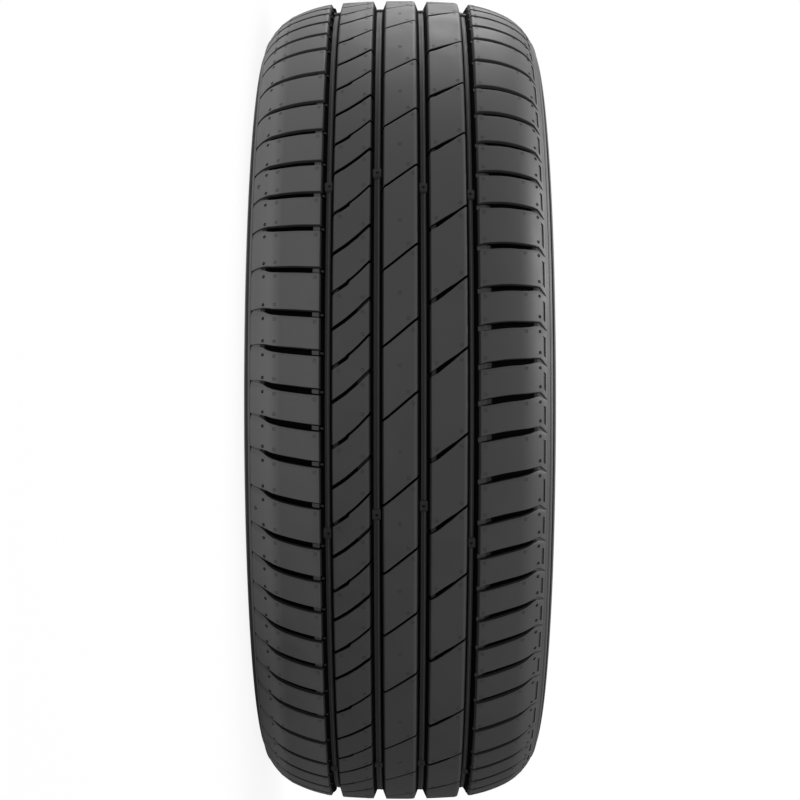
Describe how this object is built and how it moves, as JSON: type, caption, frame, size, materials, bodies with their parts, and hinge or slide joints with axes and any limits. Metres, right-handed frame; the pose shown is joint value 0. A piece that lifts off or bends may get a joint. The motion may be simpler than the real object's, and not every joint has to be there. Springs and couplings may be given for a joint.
{
  "type": "car tyre",
  "caption": "Low-profile road tyre lying on its side, with grooves round the tread, slanted slots across its ribs and shoulders, a hollow inside and two bead seats for a rim.",
  "frame": {"origin": "centre of the wheel: on the axle, half-way between the two bead seats", "axes": "+Z along the axle, away from the side whose rib has two slots to a unit; +X and +Y across the tyre, which lies on its -Z sidewall"},
  "size_m": [0.632, 0.632, 0.211],
  "materials": {
    "rubber": "matte moulded rubber, unused"
  },
  "bodies": {
    "root": {"tyre": "rubber"}
  },
  "joints": []
}
